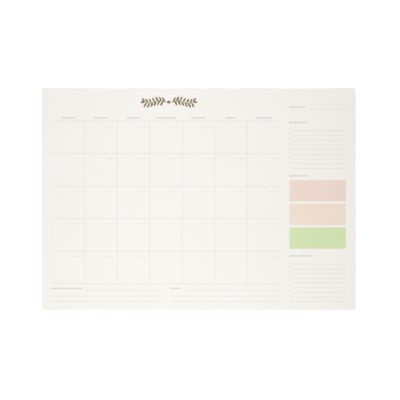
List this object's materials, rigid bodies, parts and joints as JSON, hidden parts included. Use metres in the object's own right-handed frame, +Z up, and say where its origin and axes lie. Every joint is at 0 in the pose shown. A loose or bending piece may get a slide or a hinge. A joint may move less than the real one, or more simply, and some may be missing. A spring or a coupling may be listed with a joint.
{
  "type": "desk pad calendar",
  "caption": "Landscape desk pad of tear-off planner sheets on a grey board, with a month grid, a side panel of ruled lists and colour blocks, and rules along the foot.",
  "frame": {"origin": "on the surface that the pad lies on, under the middle of its footprint", "axes": "+Z up out of the printed face, +X along the page's long side towards the side panel, +Y towards the page's glued top edge"},
  "size_m": [0.42, 0.2976, 0.0078],
  "materials": {
    "grey_board": "matt recycled grey board with fibre flecks",
    "sheet_paper": "matt uncoated off-white paper",
    "padding_glue": "satin dried padding glue",
    "line_ink": "matt pale grey offset ink on paper",
    "label_ink": "matt grey offset ink on paper",
    "gold_foil": "hot-stamped gold foil",
    "pink_ink": "matt pale pink offset ink on paper",
    "peach_ink": "matt pale peach offset ink on paper",
    "green_ink": "matt pale green offset ink on paper"
  },
  "bodies": {
    "root": {"backing_board": "grey_board", "sheet_pad": "sheet_paper", "padding_glue": "padding_glue", "calendar_grid": "line_ink", "day_label_1": "label_ink", "day_label_2": "label_ink", "day_label_3": "label_ink", "day_label_4": "label_ink", "day_label_5": "label_ink", "day_label_6": "label_ink", "day_label_7": "label_ink", "title_bud": "gold_foil", "title_sprig_left": "gold_foil", "title_sprig_right": "gold_foil", "month_label": "label_ink", "month_rule": "line_ink", "tasks_label": "label_ink", "tasks_rule_1": "line_ink", "tasks_rule_2": "line_ink", "tasks_rule_3": "line_ink", "tasks_rule_4": "line_ink", "tasks_rule_5": "line_ink", "tasks_rule_6": "line_ink", "tasks_rule_7": "line_ink", "tasks_rule_8": "line_ink", "tasks_rule_9": "line_ink", "blocks_label": "label_ink", "block_pink": "pink_ink", "block_peach": "peach_ink", "block_green": "green_ink", "notes_label": "label_ink", "notes_rule_1": "line_ink", "notes_rule_2": "line_ink", "notes_rule_3": "line_ink", "notes_rule_4": "line_ink", "notes_rule_5": "line_ink", "notes_rule_6": "line_ink", "notes_rule_7": "line_ink", "notes_rule_8": "line_ink", "notes_rule_9": "line_ink", "footer_label_left": "label_ink", "footer_rule_left_1": "line_ink", "footer_rule_left_2": "line_ink", "footer_rule_left_3": "line_ink", "footer_label_right": "label_ink", "footer_rule_right_1": "line_ink", "footer_rule_right_2": "line_ink", "footer_rule_right_3": "line_ink"}
  },
  "joints": []
}
